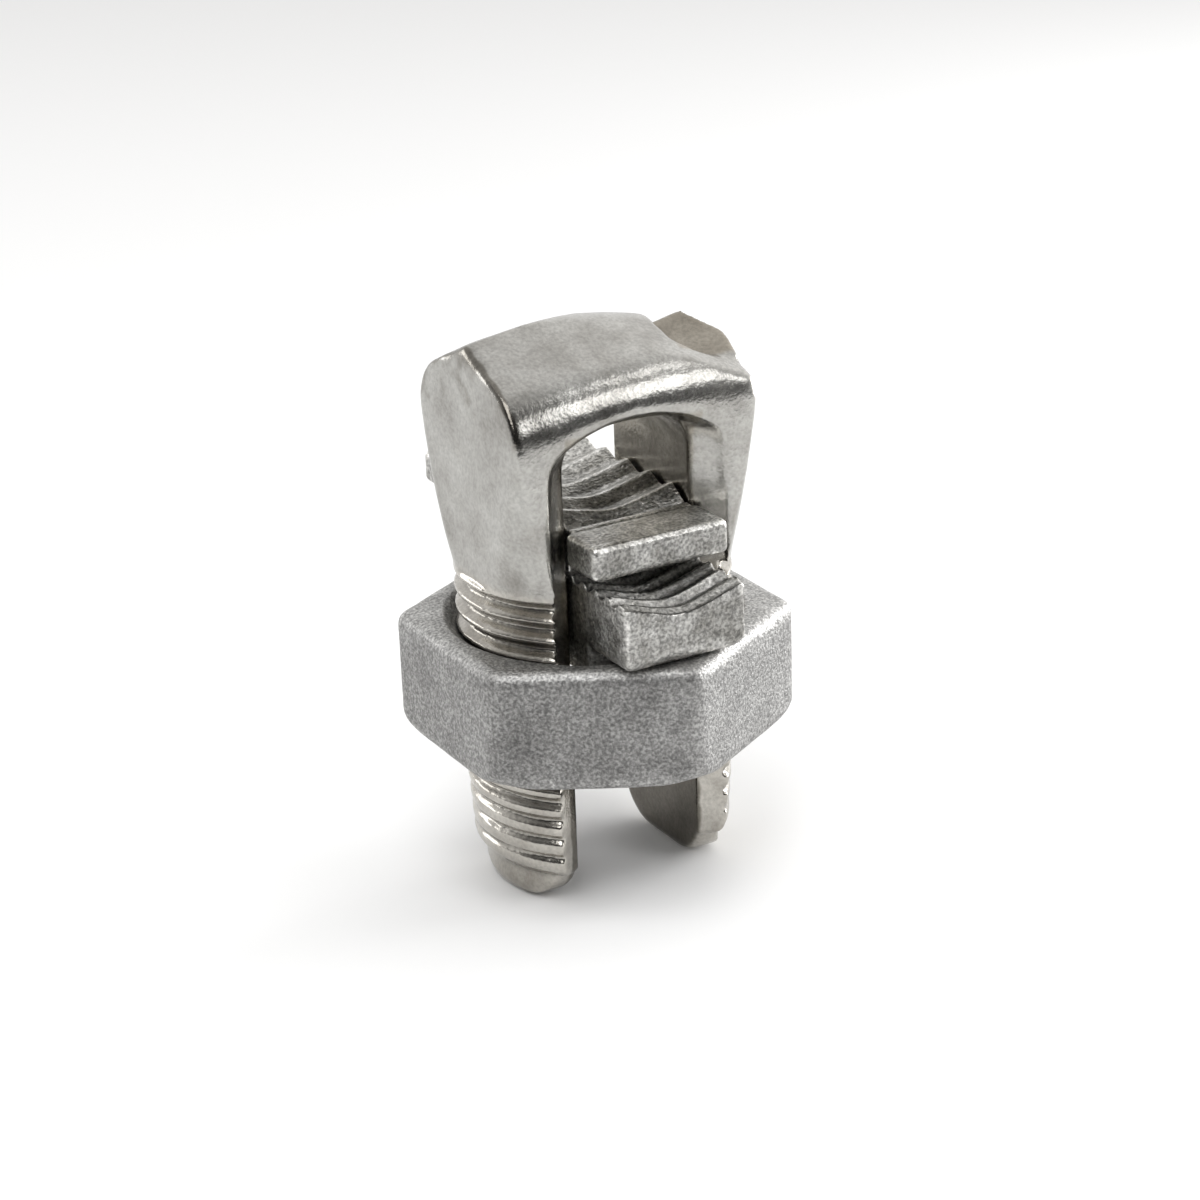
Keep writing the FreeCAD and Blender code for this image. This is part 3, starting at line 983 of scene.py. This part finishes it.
def makeSpacer():
    p = spacer
    barTop = nut["top"] + bar["height"]
    low, top = barTop + p["rise"], barTop + p["rise"] + p["thickness"]
    centre, end, half, wide = p["shift"], p["length"] / 2, p["half"], p["flangeHalf"]
    saddle = p["ribCount"] * p["ribPitch"] / 2 + p["saddleEnd"]
    y0, y1 = centre - saddle, centre + saddle
    piece = block("ribbedSpacer", (-half, y0, barTop), (half, y1, top + 2))

    crest = top - p["drop"]
    heel = crest - rib["land"] - p["slant"]
    beyond, above = heel - p["slantBeyond"], top + 9
    ribs = ribRow(centre, p["ribPitch"], p["ribCount"], crest - rib["height"])
    outline = [(y0 - 1, beyond), (y0, heel)] + ribs[1:-1] + [(y1, heel), (y1 + 1, beyond)]
    cutGroove(piece, outline + [(y1 + 1, above), (y0 - 1, above)], p["slope"], p["soft"])

    # Neck and flange at each end.
    for side in (-1, 1):
        outer = centre + side * end
        inner = outer - side * p["flange"]
        edge = centre + side * saddle
        flange = block("flange", (-wide, min(outer, inner), low), (wide, max(outer, inner), top))
        roundEdges(flange, p["corner"], p["cornerSteps"])
        combine(piece, flange, "UNION")
        near, far = min(inner, edge) - 0.1, max(inner, edge) + 0.1
        neck = block("neck", (-half, near, low), (half, far, top))
        neckTop = block("neckTop", (-half - 1, y0, low - 1), (half + 1, y1, top + 1))
        combine(neck, neckTop, "DIFFERENCE")
        combine(piece, neck, "UNION")

    # The underside is a low ribbed roof between two side rails.
    roof, below = barTop + half * p["roofSlope"] - p["roofSink"], barTop - 6
    under = ribRow(centre, p["ribPitch"], p["ribCount"], 0)
    outline = [(y0, roof), (under[0][0], roof)]
    outline += [(y, roof - p["roofRib"] * z) for y, z in under[1:-1]]
    outline += [(under[-1][0], roof), (y1, roof), (y1, below), (y0, below)]
    cutGroove(piece, outline, -p["roofSlope"], 0.0)
    cast(piece, p["voxel"])
    soften(piece, p["softRounds"])
    roughen(piece, p["skinSize"], p["skinDepth"])
    print("spacer cast")
    return piece


finishPiece(makeBolt(), "split_bolt", "bolt_body", boltMetal)
finishPiece(makeNut(), "hex_nut", "nut_body", nutMetal)
finishPiece(makeBar(), "pressure_bar", "bar_body", saddleMetal)
finishPiece(makeSpacer(), "spacer", "spacer_body", saddleMetal)


# Studio

studio = {
    "floorSize": 0.8,
    "floorBack": 0.23,
    "floorGap": 0.0001,
    "floorColour": (0.96, 0.96, 0.96),
    "azimuth": -29.14,      # from the front, to the left
    "elevation": 22.04,
    "roll": 2.05,
    "lens": 93.396,
    "distance": 0.2415,
    "aimSide": 0.0004725,   # aim point: along the picture's width, and its height
    "aimHeight": -0.0161835,
    "lightAim": (0, 0, -0.015),
}
sky = {
    # direction, brightness against it and along it, start and end of the change
    "backwards": ((0.45, 0.81, 0), 0.048, 1.224, -0.7, 0.6),
    "sideways": ((0.85, -0.45, 0), 0.74, 1.2, -0.6, 0.9),
}
softboxes = {
    # place, size, power
    "key": ((0.19, -0.31, 0.175), (0.15, 0.17), 0.25),
    "over": ((0.18, -0.17, 0.30), (0.10, 0.07), 0.05),
    "fill": ((-0.21, -0.18, 0.42), (0.3, 0.45), 1.5),
    "backLeft": ((-0.26, 0.40, 0.06), (0.25, 0.12), 0.3),
    "right": ((0.32, -0.01, 0.02), (0.2, 0.09), 0.8),
}


def makeFloor():
    deselectAll()
    height = bolt["legEnd"] * millimetre - studio["floorGap"]
    bpy.ops.mesh.primitive_plane_add(size=studio["floorSize"],
                                     location=(0, studio["floorBack"], height))
    floor = bpy.context.object
    bpy.ops.object.transform_apply(location=True)
    floor.name = "floor"
    paper = bpy.data.materials.new("palePaper")
    paper.use_nodes = True
    shader = paper.node_tree.nodes["Principled BSDF"]
    shader.inputs["Base Color"].default_value = (*studio["floorColour"], 1)
    shader.inputs["Roughness"].default_value = 0.9
    shader.inputs["Specular IOR Level"].default_value = 0.1
    floor.data.materials.append(paper)


def makeCamera():
    a = math.radians(studio["azimuth"])
    e = math.radians(studio["elevation"])
    roll = math.radians(studio["roll"])
    back = Vector((math.sin(a) * math.cos(e), -math.cos(a) * math.cos(e), math.sin(e)))
    side = Vector((math.cos(a), math.sin(a), 0))
    rise = back.cross(side)
    right = side * math.cos(roll) - rise * math.sin(roll)
    up = side * math.sin(roll) + rise * math.cos(roll)
    aim = side * studio["aimSide"] + Vector((0, 0, studio["aimHeight"]))
    data = bpy.data.cameras.new("camera")
    data.lens = studio["lens"]
    data.sensor_width = 36
    data.clip_start = 0.01
    camera = bpy.data.objects.new("camera", data)
    bpy.context.scene.collection.objects.link(camera)
    turn = Matrix((right, up, back)).transposed().to_4x4()
    camera.matrix_world = Matrix.Translation(aim + back * studio["distance"]) @ turn
    bpy.context.scene.camera = camera


def softbox(name, place, size, power):
    data = bpy.data.lights.new(name, "AREA")
    data.shape = "RECTANGLE"
    data.size, data.size_y = size
    data.energy = power
    light = bpy.data.objects.new(name, data)
    bpy.context.scene.collection.objects.link(light)
    light.location = place
    way = Vector(studio["lightAim"]) - Vector(place)
    light.rotation_euler = way.to_track_quat("-Z", "Y").to_euler()


def makeSky():
    # soft room light: bright behind and to the right, dim behind the camera
    world = bpy.data.worlds.new("studio")
    bpy.context.scene.world = world
    world.use_nodes = True
    nodes = world.node_tree.nodes
    links = world.node_tree.links
    background = nodes["Background"]
    background.inputs["Color"].default_value = (1.0, 0.995, 0.985, 1)
    place = nodes.new("ShaderNodeTexCoord")

    def along(direction, low, high, start, end):
        # brightness that changes from low to high along a direction
        share = nodes.new("ShaderNodeVectorMath")
        share.operation = "DOT_PRODUCT"
        share.inputs[1].default_value = Vector(direction).normalized()
        links.new(place.outputs["Generated"], share.inputs[0])
        level = nodes.new("ShaderNodeMapRange")
        level.interpolation_type = "SMOOTHSTEP"
        level.inputs["From Min"].default_value = start
        level.inputs["From Max"].default_value = end
        level.inputs["To Min"].default_value = low
        level.inputs["To Max"].default_value = high
        links.new(share.outputs["Value"], level.inputs["Value"])
        return level.outputs["Result"]

    strength = nodes.new("ShaderNodeMath")
    strength.operation = "MULTIPLY"
    links.new(along(*sky["backwards"]), strength.inputs[0])
    links.new(along(*sky["sideways"]), strength.inputs[1])
    links.new(strength.outputs["Value"], background.inputs["Strength"])


makeFloor()
makeCamera()
makeSky()
for name, (place, size, power) in softboxes.items():
    softbox(name, place, size, power)
bpy.context.scene.view_settings.view_transform = "Standard"
print("studio lit")
